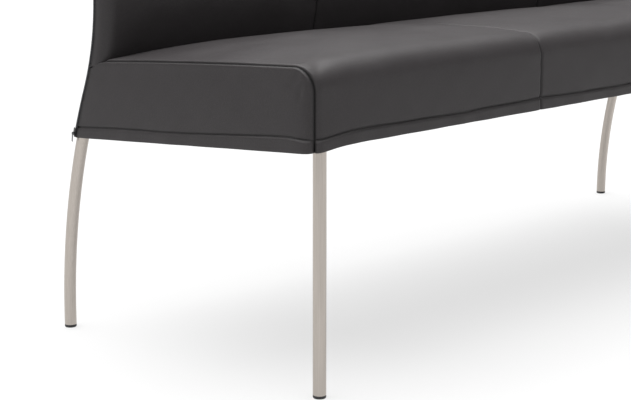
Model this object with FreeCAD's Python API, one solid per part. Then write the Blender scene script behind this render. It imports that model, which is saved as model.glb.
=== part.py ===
import FreeCAD, Part
import os
from math import asin, atan2, cos, degrees, hypot, pi, radians, sin, sqrt, tan

# Upholstered dining bench: a bent tube frame under a zipped leather cover.
# Millimetres. +X runs along the bench, the front faces -Y, +Z is up, and the origin is on the
# floor under the middle. Depths are measured back from the cover's front face.
V = FreeCAD.Vector

# Overall sizes
LENGTH = 1600.0
BACK_TOP = 880.0
REAR_FOOT = 584.0

# Round tube of the legs and the back
TUBE_D = 20.0
TUBE_WALL = 2.0
FRONT_LEG_INSET = 41.0
FRONT_LEG_DEPTH = 23.0
REAR_TUBE_INSET = 15.0
FOOT_RUN = 16.0
LEG_BEND = 1030.0
LEG_LEAN = radians(22.6)
BACK_BEND = 410.0
RECLINE = radians(-10.0)
TUBE_TOP_DROP = 18.0

# Glides in the feet and caps in the tube tops
GLIDE_HEIGHT = 5.0
GLIDE_EDGE = 2.0
PLUG_LENGTH = 14.0
CAP_HEIGHT = 3.0

# Seat frame of box tube
FRAME_BOTTOM = 392.0
RAIL_HEIGHT = 30.0
RAIL_WIDTH = 20.0
RAIL_WALL = 2.0
REAR_RAIL_DEPTH = 490.0
CROSS_RAIL_X = 267.0

# Plates, lugs and bolts that join the tubes to the frame
PLATE_THICKNESS = 5.0
PLATE_LENGTH = 69.0
PLATE_WIDTH = 46.0
PLATE_EDGE = 14.0
PLATE_BOLT_D = 6.0
PLATE_BOLT_HEAD = 4.0
PLATE_BOLT_REACH = 10.0
PLATE_BOLT_ACROSS = 45.0
PLATE_BOLT_BACK = 24.0
LUG_THICKNESS = 8.0
LUG_REACH = 90.0
LUG_HEIGHT = 26.0
LUG_BOLT_D = 8.0
LUG_BOLT_HEAD = 5.0
LUG_NUT = 6.5
LUG_NUT_R = 6.8
LUG_BOLT_PITCH = 45.0
LUG_BOLT_EDGE = 20.0

# Back rails and struts
TOP_RAIL_DROP = 34.0
LUMBAR_Z = 520.0
STRUT_D = 16.0
STRUT_WALL = 1.5

# Elastic webbing and its clips
STRAP_WIDTH = 50.0
STRAP_THICKNESS = 1.5
STRAPS_PER_BAY = 4
CLIP_THICKNESS = 1.0
CLIP_DROP = 12.0
CLIP_LIP = 12.0

# Dust cover and its studs
DUST_THICKNESS = 0.8
DUST_EDGE = 2.0
STUD_D = 3.0
STUD_HEAD_D = 8.0
STUD_HEAD = 1.0
STUD_REACH = 2.5
STUDS_PER_RAIL = 6

# Cover and padding
COVER = 2.0
GAP = 0.4
FOAM_APRON = 8.0
FOAM_APRON_LOW = 395.0
BACK_FRONT = 30.0
BACK_REAR = 15.0
BACK_END_ROUND = 22.0
TOP_FRONT_ROUND = 20.0
TOP_REAR_ROUND = 15.0
BACK_TUCK = 440.0
BACK_SEAM = 469.0
WADDING = 2.3

# Seat outline in side view
HEM_FRONT = 375.5
HEM_FALL = 0.0827
HEM_REAR = 331.5
SEAT_FRONT_TOP = 502.5
SEAT_FRONT_ROUND = 35.0
CROWN_RISE = radians(3.0)
JUNCTION_Z = 474.5
SHOULDER_Z = 462.0
SEAT_END_ROUND = 25.0
SIDE_SEAM = 12.0
SEAT_SEAM = 535.0
END_DROP = 8.0
END_REACH = 220.0
END_STEPS = 4
END_FLATNESS = 0.98
SEAM_DROP = 2.5
SEAM_REACH = 60.0
SEAM_NEAR = 24.0
SEAM_CLOSE = 8.0

# Zip on the outer side of each rear tube
ZIP_ANGLE = radians(20.0)
ZIP_HALF_GAP = radians(17.0)
ZIP_LOW = 334.0
ZIP_DROP = 34.0
TEETH_IN = 12.9
TEETH_OUT = 15.5
TEETH_NEAR = 0.6
TEETH_FAR = 2.2
TAPE_IN = 13.4
TAPE_OUT = 14.2
TAPE_FAR = 3.9
SLIDER_Z = 340.0
SLIDER_LENGTH = 12.0
SLIDER_WIDTH = 7.2
SLIDER_PLATE = 1.2
SLIDER_PLAY = 0.5
BRIDGE_WIDTH = 0.6
BRIDGE_LENGTH = 4.0
LUG_EYE_WIDTH = 2.4
LUG_EYE_LENGTH = 3.6
LUG_EYE_RISE = 3.0
PIVOT_DOWN = 3.0
PIVOT_UP = 1.8
PIN_D = 1.44
PIN_PLAY = 0.08
EAR_WIDTH = 0.8
EAR_PLAY = 0.2
PULL_START = 2.6
PULL_LENGTH = 15.0
PULL_THICKNESS = 1.0

HALF = LENGTH / 2
TOP_RAIL_Z = BACK_TOP - TOP_RAIL_DROP
ZIP_HIGH = BACK_TOP - ZIP_DROP
TUBE_R = TUBE_D / 2
HALF_DEPTH = (REAR_FOOT + TUBE_R) / 2
RAIL_TOP = FRAME_BOTTOM + RAIL_HEIGHT
LEG_X = HALF - FRONT_LEG_INSET
TUBE_X = HALF - REAR_TUBE_INSET
FRONT_RAIL_DEPTH = FRONT_LEG_DEPTH - RAIL_WIDTH / 2
END_RAIL_X = LEG_X - RAIL_WIDTH / 2
FOAM_BOTTOM = RAIL_TOP + STRAP_THICKNESS + CLIP_THICKNESS + GAP
SKIN = COVER + GAP
FAR = 2 * LENGTH
SECTION_TURN = radians(15.0)


def at(x, depth, z):
    """Point in the part's frame from a depth behind the front face."""
    return V(x, depth - HALF_DEPTH, z)


class Run:
    """Straight stretch of a side-view line, leaning forward from the vertical."""

    def __init__(self, start, lean, length):
        self.start = start
        self.lean = lean
        self.length = length
        self.end = (start[0] - length * sin(lean), start[1] + length * cos(lean))

    def offset(self, by):
        moved = (self.start[0] + by * cos(self.lean), self.start[1] + by * sin(self.lean))
        return Run(moved, self.lean, self.length)

    def lean_at(self, z):
        return self.lean

    def depth_at(self, z):
        return self.start[0] - (z - self.start[1]) * tan(self.lean)

    def trimmed(self, low, high):
        first = max(low, self.start[1])
        last = min(high, self.end[1])
        return Run((self.depth_at(first), first), self.lean, (last - first) / cos(self.lean))

    def stroke(self):
        return (self.start, self.end)

    def sweep(self, face):
        return face.extrude(V(0, -sin(self.lean), cos(self.lean)) * self.length)


class Bend:
    """Arc of a side-view line. The radius is positive where the line turns forward."""

    def __init__(self, centre, radius, lean, lean_end):
        self.centre = centre
        self.radius = radius
        self.lean = lean
        self.lean_end = lean_end
        self.start = self.point(lean)
        self.end = self.point(lean_end)

    def point(self, lean):
        return (self.centre[0] + self.radius * cos(lean), self.centre[1] + self.radius * sin(lean))

    def offset(self, by):
        return Bend(self.centre, self.radius + by, self.lean, self.lean_end)

    def lean_at(self, z):
        return asin((z - self.centre[1]) / self.radius)

    def depth_at(self, z):
        return self.point(self.lean_at(z))[0]

    def trimmed(self, low, high):
        first = self.lean_at(low) if low > self.start[1] else self.lean
        last = self.lean_at(high) if high < self.end[1] else self.lean_end
        return Bend(self.centre, self.radius, first, last)

    def stroke(self):
        return (self.start, self.point((self.lean + self.lean_end) / 2), self.end)

    def sweep(self, face):
        return face.revolve(at(0, *self.centre), V(1, 0, 0), degrees(self.lean_end - self.lean))


def bend_from(piece, radius, lean_end):
    """Arc that goes on from a piece without a kink, to another lean."""
    lean = piece.lean_end if isinstance(piece, Bend) else piece.lean
    turn = radius if lean_end > lean else -radius
    centre = (piece.end[0] - turn * cos(lean), piece.end[1] - turn * sin(lean))
    return Bend(centre, turn, lean, lean_end)


def rear_tube_line():
    """Middle line of a rear tube: foot, leg bend, back bend and the straight upper back."""
    foot = Run((REAR_FOOT, 0.0), 0.0, FOOT_RUN)
    leg = bend_from(foot, LEG_BEND, LEG_LEAN)
    back = bend_from(leg, BACK_BEND, RECLINE)
    upper = Run(back.end, RECLINE, BACK_TOP + BACK_FRONT - back.end[1])
    return [foot, leg, back, upper]


TUBE_LINE = rear_tube_line()


def beside(by):
    """The tube line moved back by a distance, with the same middle points of its bends."""
    return [piece.offset(by) for piece in TUBE_LINE]


def between(line, low, high):
    """The stretch of a side-view line between two heights."""
    return [p.trimmed(low, high) for p in line if p.end[1] > low and p.start[1] < high]


JUNCTION_DEPTH = between(beside(-BACK_FRONT), JUNCTION_Z, BACK_TOP)[0].start[0]


def piece_at(z):
    """The piece of the tube line at a height."""
    return between(TUBE_LINE, z, z + BACK_TOP)[0]


def strokes_of(line):
    return [piece.stroke() for piece in line]


def reversed_strokes(strokes):
    return [tuple(reversed(stroke)) for stroke in reversed(strokes)]


def wire(x, strokes):
    """Closed wire at x. A stroke of two points is a line, one of three is an arc."""
    edges = []
    for stroke in strokes:
        points = [at(x, *p) for p in stroke]
        curve = Part.LineSegment(*points) if len(points) == 2 else Part.Arc(*points)
        edges.append(curve.toShape())
    return Part.Wire(edges)


def prism(strokes, x_from, x_to):
    return Part.Face(wire(x_from, strokes)).extrude(V(x_to - x_from, 0, 0))


def box(x_from, x_to, depth_from, depth_to, z_from, z_to):
    corner = at(x_from, depth_from, z_from)
    return Part.makeBox(x_to - x_from, depth_to - depth_from, z_to - z_from, corner)


def post(x, depth, z_from, z_to, radius):
    return Part.makeCylinder(radius, z_to - z_from, at(x, depth, z_from))


def bar(x_from, x_to, depth, z, radius):
    return Part.makeCylinder(radius, x_to - x_from, at(x_from, depth, z), V(1, 0, 0))


def joined(solids):
    return solids[0].fuse(solids[1:]) if len(solids) > 1 else solids[0]


def mirrored(shape):
    return shape.mirror(V(0, 0, 0), V(1, 0, 0))


def rod(x, line, radius):
    """Round bar along a side-view line at x."""
    solids = []
    for piece in line:
        along = V(0, -sin(piece.lean), cos(piece.lean))
        disc = Part.Face(Part.Wire(Part.makeCircle(radius, at(x, *piece.start), along)))
        solids.append(piece.sweep(disc))
    return joined(solids)


def behind(by):
    """Everything behind the tube line moved back by a distance."""
    line = beside(by)
    foot = line[0].start
    top = line[-1].end
    back = [(top, (FAR, top[1])), ((FAR, top[1]), (FAR, foot[1])), ((FAR, foot[1]), foot)]
    return prism(strokes_of(line) + back, -LENGTH, LENGTH)


def corner(point, going_in, going_out, radius):
    """Start, middle and end of the arc that rounds a corner turning towards the rear."""
    turn = abs(atan2(going_in[0] * going_out[1] - going_in[1] * going_out[0],
                     going_in[0] * going_out[0] + going_in[1] * going_out[1]))
    reach = radius * tan(turn / 2)
    start = (point[0] - going_in[0] * reach, point[1] - going_in[1] * reach)
    end = (point[0] + going_out[0] * reach, point[1] + going_out[1] * reach)
    centre = (start[0] + radius * going_in[1], start[1] - radius * going_in[0])
    away = hypot(point[0] - centre[0], point[1] - centre[1])
    middle = (centre[0] + radius * (point[0] - centre[0]) / away,
              centre[1] + radius * (point[1] - centre[1]) / away)
    return start, middle, end


def drawn_in(radius, skin, distance):
    """How far a rounded end edge has drawn in, at a distance from the end of the bench."""
    if distance >= radius:
        return skin
    return radius - sqrt(max((radius - skin) ** 2 - (radius - distance) ** 2, 0.0))


def end_distances(radius, skin):
    """Distances from the end at which a rounded end is drawn."""
    turns = round(pi / 2 / SECTION_TURN)
    return [skin + (radius - skin) * (1 - cos(k * SECTION_TURN)) for k in range(turns + 1)]


def back_outline(distance, skin, tuck):
    """Closed side view of the back at a distance from the end, drawn in by a skin."""
    front = drawn_in(BACK_END_ROUND, skin, distance) - BACK_FRONT
    rear = BACK_REAR - drawn_in(BACK_REAR, skin, distance)
    top = BACK_TOP - drawn_in(BACK_END_ROUND, skin, distance)
    share = (rear - front) / (BACK_REAR + BACK_FRONT)
    front_line = between(beside(front), BACK_TUCK - tuck, top)
    rear_line = between(beside(rear), HEM_REAR - tuck, top)
    up = (-sin(RECLINE), cos(RECLINE))
    down = (sin(RECLINE), -cos(RECLINE))
    fore = corner(front_line[-1].end, up, (1.0, 0.0), TOP_FRONT_ROUND * share)
    aft = corner(rear_line[-1].end, (1.0, 0.0), down, TOP_REAR_ROUND * share)
    return (strokes_of(front_line[:-1])
            + [(front_line[-1].start, fore[0]), fore, (fore[2], aft[0]), aft]
            + [(aft[2], rear_line[-1].start)]
            + reversed_strokes(strokes_of(rear_line[:-1]))
            + [(rear_line[0].start, front_line[0].start)])


def seat_drop(distance):
    """How much lower the seat's crown is, near an end and near a seam."""
    drop = 0.0
    if distance < END_REACH:
        drop += END_DROP * (1 - distance / END_REACH) ** 2
    from_seam = abs(distance - SEAT_SEAM)
    if from_seam < SEAM_REACH:
        drop += SEAM_DROP * (1 - from_seam / SEAM_REACH) ** 2
    return drop


def crown(start, rise, end, distance):
    """Arc over the seat that leaves the front edge at a slope, flatter near an end."""
    chord = hypot(end[0] - start[0], end[1] - start[1])
    bow = rise - atan2(end[1] - start[1], end[0] - start[0])
    sag = chord / 2 * tan(bow / 2) * (1 - max(1 - distance / END_REACH, 0.0) ** 2 * END_FLATNESS)
    across = ((start[1] - end[1]) / chord, (end[0] - start[0]) / chord)
    middle = ((start[0] + end[0]) / 2 + sag * across[0], (start[1] + end[1]) / 2 + sag * across[1])
    return (start, middle, end)


def seat_outline(distance, skin, rear, low):
    """Closed side view of the seat at a distance from the end, drawn in by a skin."""
    inset = drawn_in(SEAT_END_ROUND, skin, distance)
    drop = seat_drop(distance)
    radius = SEAT_FRONT_ROUND - inset
    middle = (SEAT_FRONT_ROUND, SEAT_FRONT_TOP - drop - SEAT_FRONT_ROUND)

    def edge_point(turn):
        return (middle[0] - radius * sin(turn), middle[1] + radius * cos(turn))

    front_low = (inset, HEM_FRONT - HEM_FALL * inset - low)
    front_high = edge_point(pi / 2)
    edge = (front_high, edge_point((pi / 2 + CROWN_RISE) / 2), edge_point(CROWN_RISE))
    junction = (JUNCTION_DEPTH, JUNCTION_Z - inset - drop)
    rear_line = between(beside(rear), HEM_REAR - low, SHOULDER_Z - inset - drop)
    return ([(front_low, front_high), edge, crown(edge[2], CROWN_RISE, junction, distance)]
            + [(junction, rear_line[-1].end)]
            + reversed_strokes(strokes_of(rear_line))
            + [(rear_line[0].start, front_low)])


ZIP_FRONT_EDGE = BACK_REAR * sin(ZIP_ANGLE - ZIP_HALF_GAP)
ZIP_REAR_EDGE = BACK_REAR * sin(ZIP_ANGLE + ZIP_HALF_GAP)
OPEN = 30.0


def seat_loft(distances, skin, rear, low):
    """Solid through seat outlines at distances from the right end."""
    return Part.makeLoft([wire(HALF - d, seat_outline(d, skin, rear, low)) for d in distances], True)


def seat_end(skin, rear, low):
    return seat_loft(end_distances(SEAT_END_ROUND, skin), skin, rear, low)


def back_end(skin, tuck):
    distances = end_distances(BACK_END_ROUND, skin)
    wires = [wire(HALF - d, back_outline(d, skin, tuck)) for d in distances]
    return Part.makeLoft(wires, True)


def back_panel(skin, tuck, x_from, x_to):
    return prism(back_outline(HALF, skin, tuck), x_from, x_to)


SEAM_STEPS = [SEAM_REACH, SEAM_NEAR, SEAM_CLOSE, 0.0]
SEAT_END_STEPS = ([SEAT_END_ROUND] + [END_REACH * (k + 1) / END_STEPS for k in range(END_STEPS)]
                  + [SEAT_SEAM - step for step in SEAM_STEPS])
SEAT_MIDDLE_STEPS = ([SEAT_SEAM + step for step in reversed(SEAM_STEPS)] + [HALF]
                     + [LENGTH - SEAT_SEAM - step for step in SEAM_STEPS])


def shell(outer, inner):
    return outer.cut(inner)


def seat_covers():
    """Three seat panels and two side panels, sewn edge to edge."""
    rear = ZIP_FRONT_EDGE
    end_outer = seat_end(0.0, rear, 0.0)
    end_shell = shell(end_outer, seat_end(COVER, rear + OPEN, OPEN))
    seam_x = HALF - SIDE_SEAM
    outside = box(seam_x, HALF + OPEN, -OPEN, FAR, 0.0, BACK_TOP)
    side_panel = end_shell.common(outside)
    edge = end_shell.cut(outside)
    long_part = shell(seat_loft(SEAT_END_STEPS, 0.0, rear, 0.0),
                      seat_loft(SEAT_END_STEPS, COVER, rear + OPEN, OPEN))
    back_side = behind(-BACK_FRONT)
    right = joined([edge, long_part]).cut(back_side)
    middle = shell(seat_loft(SEAT_MIDDLE_STEPS, 0.0, rear, 0.0),
                   seat_loft(SEAT_MIDDLE_STEPS, COVER, rear + OPEN, OPEN)).cut(back_side)
    return {"seat_cover_right": right, "seat_cover_left": mirrored(right),
            "seat_cover_middle": middle, "seat_side_right": side_panel,
            "seat_side_left": mirrored(side_panel)}


def seat_foam():
    """One foam block with a crown, and a thin apron over the front and end rails."""
    rear = ZIP_FRONT_EDGE
    end = seat_end(SKIN, rear, 0.0)
    right = seat_loft(SEAT_END_STEPS, SKIN, rear, 0.0)
    middle = seat_loft(SEAT_MIDDLE_STEPS, SKIN, rear, 0.0)
    block = joined([middle, right, end, mirrored(right), mirrored(end)])
    apron = HALF - SKIN - FOAM_APRON
    frame_room = box(-apron, apron, SKIN + FOAM_APRON, FAR, 0.0, FOAM_BOTTOM)
    below = box(-HALF, HALF, -OPEN, FAR, 0.0, FOAM_APRON_LOW)
    return block.cut([frame_room, below, behind(-BACK_FRONT - GAP)])


def back_covers():
    """Three front panels that wrap the ends and the top, and one rear panel."""
    end_shell = shell(back_end(0.0, 0.0), back_end(COVER, OPEN))
    straight = HALF - BACK_END_ROUND
    seam_x = HALF - BACK_SEAM
    long_part = shell(back_panel(0.0, 0.0, seam_x, straight), back_panel(COVER, OPEN, seam_x, straight))
    front_rear = behind(ZIP_FRONT_EDGE)
    seat_side = prism(seat_outline(SIDE_SEAM, 0.0, ZIP_FRONT_EDGE, 0.0), HALF - SIDE_SEAM, HALF + OPEN)
    wrap = max(end_shell.cut(seat_side).cut(front_rear).Solids, key=lambda solid: solid.Volume)
    right = joined([wrap, long_part.cut(front_rear)])
    whole = shell(back_panel(0.0, 0.0, -straight, straight), back_panel(COVER, OPEN, -straight, straight))
    middle = whole.cut([front_rear, box(seam_x, HALF, 0.0, FAR, 0.0, FAR),
                        box(-HALF, -seam_x, 0.0, FAR, 0.0, FAR)])
    rear_end = end_shell.common(behind(ZIP_REAR_EDGE))
    rear = joined([whole.common(front_rear), rear_end, mirrored(rear_end)])
    return {"back_cover_right": right, "back_cover_left": mirrored(right),
            "back_cover_middle": middle, "back_rear_panel": rear}


def back_foam():
    """Foam in front of the back's tubes, rounded at the ends and the top."""
    end = back_end(SKIN, 0.0).cut(seat_end(0.0, ZIP_FRONT_EDGE, 0.0))
    straight = HALF - BACK_END_ROUND
    block = joined([back_panel(SKIN, 0.0, -straight, straight), end, mirrored(end)])
    below = box(-HALF, HALF, 0.0, FAR, 0.0, BACK_TUCK)
    return block.cut(behind(-TUBE_R - STRAP_THICKNESS - GAP)).cut(below)


def strip(x_from, x_to, offset_from, offset_to, z_from, z_to):
    """Sheet that follows the tube line between two offsets and two heights."""
    fore = strokes_of(between(beside(offset_from), z_from, z_to))
    aft = strokes_of(between(beside(offset_to), z_from, z_to))
    ends = [(fore[-1][-1], aft[-1][-1])], [(aft[0][0], fore[0][0])]
    return prism(fore + ends[0] + reversed_strokes(aft) + ends[1], x_from, x_to)


TUBE_TOP = BACK_TOP - TUBE_TOP_DROP


def rear_tube():
    line = between(TUBE_LINE, GLIDE_HEIGHT, TUBE_TOP)
    return rod(TUBE_X, line, TUBE_R).cut(rod(TUBE_X, line, TUBE_R - TUBE_WALL))


def front_leg():
    top = FRAME_BOTTOM - PLATE_THICKNESS
    outer = post(LEG_X, FRONT_LEG_DEPTH, GLIDE_HEIGHT, top, TUBE_R)
    return outer.cut(post(LEG_X, FRONT_LEG_DEPTH, GLIDE_HEIGHT, top, TUBE_R - TUBE_WALL))


def glide(x, depth):
    """Plastic foot: a plug in the tube on a base with a rounded lower edge."""
    base = post(x, depth, 0.0, GLIDE_HEIGHT, TUBE_R)
    lower = [edge for edge in base.Edges if edge.BoundBox.ZMax < GLIDE_HEIGHT / 2]
    base = base.makeFillet(GLIDE_EDGE, lower)
    return base.fuse(post(x, depth, GLIDE_HEIGHT, GLIDE_HEIGHT + PLUG_LENGTH, TUBE_R - TUBE_WALL))


def tube_cap():
    """Plastic cap on a plug in the top of a rear tube."""
    last = between(TUBE_LINE, GLIDE_HEIGHT, TUBE_TOP)[-1]
    cap = rod(TUBE_X, [Run(last.end, last.lean, CAP_HEIGHT)], TUBE_R)
    start = Run(last.start, last.lean, last.length - PLUG_LENGTH).end
    return cap.fuse(rod(TUBE_X, [Run(start, last.lean, PLUG_LENGTH)], TUBE_R - TUBE_WALL))


def leg_bolt_places():
    return [(LEG_X - PLATE_BOLT_ACROSS, FRONT_LEG_DEPTH), (LEG_X, FRONT_LEG_DEPTH + PLATE_BOLT_BACK)]


def leg_plate():
    x_from = LEG_X + PLATE_EDGE - PLATE_LENGTH
    front = FRONT_RAIL_DEPTH - DUST_EDGE
    plate = box(x_from, LEG_X + PLATE_EDGE, front, front + PLATE_WIDTH,
                FRAME_BOTTOM - PLATE_THICKNESS, FRAME_BOTTOM)
    return plate.cut([post(x, depth, 0.0, FRAME_BOTTOM, PLATE_BOLT_D / 2) for x, depth in leg_bolt_places()])


def leg_bolts():
    low = FRAME_BOTTOM - PLATE_THICKNESS
    bolts = []
    for x, depth in leg_bolt_places():
        shank = post(x, depth, low, FRAME_BOTTOM + PLATE_BOLT_REACH, PLATE_BOLT_D / 2)
        bolts.append(shank.fuse(post(x, depth, low - PLATE_BOLT_HEAD, low, PLATE_BOLT_D)))
    return bolts


LUG_BOTTOM = FRAME_BOTTOM + (RAIL_HEIGHT - LUG_HEIGHT) / 2
LUG_FRONT = REAR_RAIL_DEPTH - LUG_REACH
LUG_X = LEG_X + RAIL_WIDTH / 2
LUG_BOLT_Z = LUG_BOTTOM + LUG_HEIGHT / 2


def lug_bolt_depths():
    return [LUG_FRONT + LUG_BOLT_EDGE, LUG_FRONT + LUG_BOLT_EDGE + LUG_BOLT_PITCH]


def rear_lug():
    """Flat bar welded into the side of the rear tube and bolted to the end rail."""
    top = LUG_BOTTOM + LUG_HEIGHT
    rear = piece_at(top).depth_at(top) + TUBE_R
    bar_shape = box(LUG_X, LUG_X + LUG_THICKNESS, LUG_FRONT, rear, LUG_BOTTOM, top)
    holes = [bar(0.0, HALF, depth, LUG_BOLT_Z, LUG_BOLT_D / 2) for depth in lug_bolt_depths()]
    return bar_shape.cut(holes + [rod(TUBE_X, between(TUBE_LINE, 0.0, BACK_TOP), TUBE_R)])


def lug_bolts():
    outer = LUG_X + LUG_THICKNESS
    inner = END_RAIL_X - LUG_NUT - CLIP_THICKNESS
    bolts = []
    for depth in lug_bolt_depths():
        shank = bar(inner, outer, depth, LUG_BOLT_Z, LUG_BOLT_D / 2)
        bolts.append(shank.fuse(bar(outer, outer + LUG_BOLT_HEAD, depth, LUG_BOLT_Z, LUG_BOLT_D)))
    return bolts


def lug_nuts():
    nuts = []
    for depth in lug_bolt_depths():
        nut = bar(END_RAIL_X - LUG_NUT, END_RAIL_X, depth, LUG_BOLT_Z, LUG_NUT_R)
        nuts.append(nut.cut(bar(0.0, HALF, depth, LUG_BOLT_Z, LUG_BOLT_D / 2)))
    return nuts


def box_rail(x_from, x_to, depth_from, depth_to, along_x):
    """Rectangular tube, open at its ends."""
    outer = box(x_from, x_to, depth_from, depth_to, FRAME_BOTTOM, RAIL_TOP)
    in_x = 0.0 if along_x else RAIL_WALL
    in_depth = RAIL_WALL if along_x else 0.0
    bore = box(x_from + in_x, x_to - in_x, depth_from + in_depth, depth_to - in_depth,
               FRAME_BOTTOM + RAIL_WALL, RAIL_TOP - RAIL_WALL)
    return outer.cut(bore)


def stud_places():
    """Places of the dust cover's studs under the front and rear rails."""
    span = DUST_HALF - STUD_HEAD_D
    step = 2 * span / (STUDS_PER_RAIL - 1)
    depths = (FRONT_LEG_DEPTH, REAR_RAIL_DEPTH + RAIL_WIDTH / 2)
    return [(-span + k * step, depth) for depth in depths for k in range(STUDS_PER_RAIL)]


DUST_HALF = LEG_X + PLATE_EDGE - PLATE_LENGTH - DUST_EDGE


def seat_rails():
    """Front, rear, end and cross rails with their holes."""
    long_end = LEG_X + RAIL_WIDTH / 2
    front_back = FRONT_RAIL_DEPTH + RAIL_WIDTH
    front = box_rail(-long_end, long_end, FRONT_RAIL_DEPTH, front_back, True)
    rear = box_rail(-long_end, long_end, REAR_RAIL_DEPTH, REAR_RAIL_DEPTH + RAIL_WIDTH, True)
    end = box_rail(END_RAIL_X, long_end, front_back, REAR_RAIL_DEPTH, False)
    cross = box_rail(CROSS_RAIL_X - RAIL_WIDTH / 2, CROSS_RAIL_X + RAIL_WIDTH / 2,
                     front_back, REAR_RAIL_DEPTH, False)
    middle_z = FRAME_BOTTOM + RAIL_HEIGHT / 2
    bolt_holes = [post(x, depth, FRAME_BOTTOM, middle_z, PLATE_BOLT_D / 2)
                  for x, depth in leg_bolt_places()]
    stud_holes = [post(x, depth, FRAME_BOTTOM, middle_z, STUD_D / 2) for x, depth in stud_places()]
    lug_holes = [bar(0.0, HALF, depth, LUG_BOLT_Z, LUG_BOLT_D / 2) for depth in lug_bolt_depths()]
    front = front.cut(bolt_holes + [mirrored(hole) for hole in bolt_holes] + stud_holes)
    end = end.cut(bolt_holes + lug_holes)
    return {"seat_front_rail": front, "seat_rear_rail": rear.cut(stud_holes),
            "seat_end_rail_right": end, "seat_end_rail_left": mirrored(end),
            "seat_cross_rail_right": cross, "seat_cross_rail_left": mirrored(cross)}


def strap_places():
    """Left edges of the straps, spaced evenly in the three bays between the rails."""
    stops = [-END_RAIL_X, -CROSS_RAIL_X, CROSS_RAIL_X, END_RAIL_X]
    places = []
    for left, right in zip(stops, stops[1:]):
        pitch = (right - left) / STRAPS_PER_BAY
        places += [left + (k + 0.5) * pitch - STRAP_WIDTH / 2 for k in range(STRAPS_PER_BAY)]
    return places


def seat_webbing():
    rear = REAR_RAIL_DEPTH + RAIL_WIDTH
    return [box(x, x + STRAP_WIDTH, FRONT_RAIL_DEPTH, rear, RAIL_TOP, RAIL_TOP + STRAP_THICKNESS)
            for x in strap_places()]


def webbing_clips():
    """Angle clips that hold the strap ends on the outer faces of the rails."""
    top = RAIL_TOP + STRAP_THICKNESS
    rear = REAR_RAIL_DEPTH + RAIL_WIDTH
    clips = []
    for x in strap_places():
        x_to = x + STRAP_WIDTH
        front = box(x, x_to, FRONT_RAIL_DEPTH - CLIP_THICKNESS, FRONT_RAIL_DEPTH, top - CLIP_DROP, top)
        lip = box(x, x_to, FRONT_RAIL_DEPTH - CLIP_THICKNESS, FRONT_RAIL_DEPTH + CLIP_LIP,
                  top, top + CLIP_THICKNESS)
        clips.append(front.fuse(lip))
        aft = box(x, x_to, rear, rear + CLIP_THICKNESS, top - CLIP_DROP, top)
        lip = box(x, x_to, rear - CLIP_LIP, rear + CLIP_THICKNESS, top, top + CLIP_THICKNESS)
        clips.append(aft.fuse(lip))
    return clips


def dust_cover():
    sheet = box(-DUST_HALF, DUST_HALF, FRONT_RAIL_DEPTH + DUST_EDGE,
                REAR_RAIL_DEPTH + RAIL_WIDTH - DUST_EDGE, FRAME_BOTTOM - DUST_THICKNESS, FRAME_BOTTOM)
    return sheet.cut([post(x, depth, 0.0, FRAME_BOTTOM, STUD_D / 2) for x, depth in stud_places()])


def dust_studs():
    low = FRAME_BOTTOM - DUST_THICKNESS
    studs = []
    for x, depth in stud_places():
        pin = post(x, depth, low, FRAME_BOTTOM + STUD_REACH, STUD_D / 2)
        studs.append(pin.fuse(post(x, depth, low - STUD_HEAD, low, STUD_HEAD_D / 2)))
    return studs


def back_frame():
    """Top rail, lumbar rails and struts between the two rear tubes."""
    ends = [rod(TUBE_X, between(TUBE_LINE, RAIL_TOP, TUBE_TOP), TUBE_R)]
    ends.append(mirrored(ends[0]))
    top_depth = piece_at(TOP_RAIL_Z).depth_at(TOP_RAIL_Z)
    lumbar_depth = piece_at(LUMBAR_Z).depth_at(LUMBAR_Z)
    top_solid = bar(-TUBE_X, TUBE_X, top_depth, TOP_RAIL_Z, TUBE_R)
    top_bore = bar(-TUBE_X, TUBE_X, top_depth, TOP_RAIL_Z, TUBE_R - TUBE_WALL)
    line = between(TUBE_LINE, RAIL_TOP - TUBE_D, TOP_RAIL_Z)
    strut_solid = rod(CROSS_RAIL_X, line, STRUT_D / 2)
    strut_bore = rod(CROSS_RAIL_X, line, STRUT_D / 2 - STRUT_WALL)
    strut = strut_solid.cut([strut_bore, top_solid, box(0.0, HALF, 0.0, FAR, 0.0, RAIL_TOP)])
    lumbar = []
    for x_from, x_to in ((-TUBE_X, -CROSS_RAIL_X), (-CROSS_RAIL_X, CROSS_RAIL_X), (CROSS_RAIL_X, TUBE_X)):
        piece = bar(x_from, x_to, lumbar_depth, LUMBAR_Z, TUBE_R)
        bore = bar(x_from, x_to, lumbar_depth, LUMBAR_Z, TUBE_R - TUBE_WALL)
        lumbar.append(piece.cut([bore, strut_solid, mirrored(strut_solid)] + ends))
    lumbar = [max(piece.Solids, key=lambda solid: solid.Volume) for piece in lumbar]
    top_rail = top_solid.cut([top_bore] + ends)
    top_rail = max(top_rail.Solids, key=lambda solid: solid.Volume)
    return {"back_top_rail": top_rail, "back_lumbar_rails": lumbar,
            "back_strut_right": strut, "back_strut_left": mirrored(strut)}


def back_webbing():
    front = -TUBE_R - STRAP_THICKNESS
    return [strip(x, x + STRAP_WIDTH, front, -TUBE_R, LUMBAR_Z - TUBE_R, TOP_RAIL_Z + TUBE_R)
            for x in strap_places()]


def back_wadding():
    """Thin fleece between the back's tubes and the rear panel."""
    inner = HALF - BACK_END_ROUND
    return strip(-inner, inner, TUBE_R + GAP, TUBE_R + GAP + WADDING, BACK_TUCK, TOP_RAIL_Z)


def zip_axes(lean):
    """Outward, across and upward directions of the right zip."""
    rearward = V(0, cos(lean), sin(lean))
    outward = V(cos(ZIP_ANGLE), 0, 0) + rearward * sin(ZIP_ANGLE)
    across = rearward * cos(ZIP_ANGLE) - V(sin(ZIP_ANGLE), 0, 0)
    return outward, across, V(0, -sin(lean), cos(lean))


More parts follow.
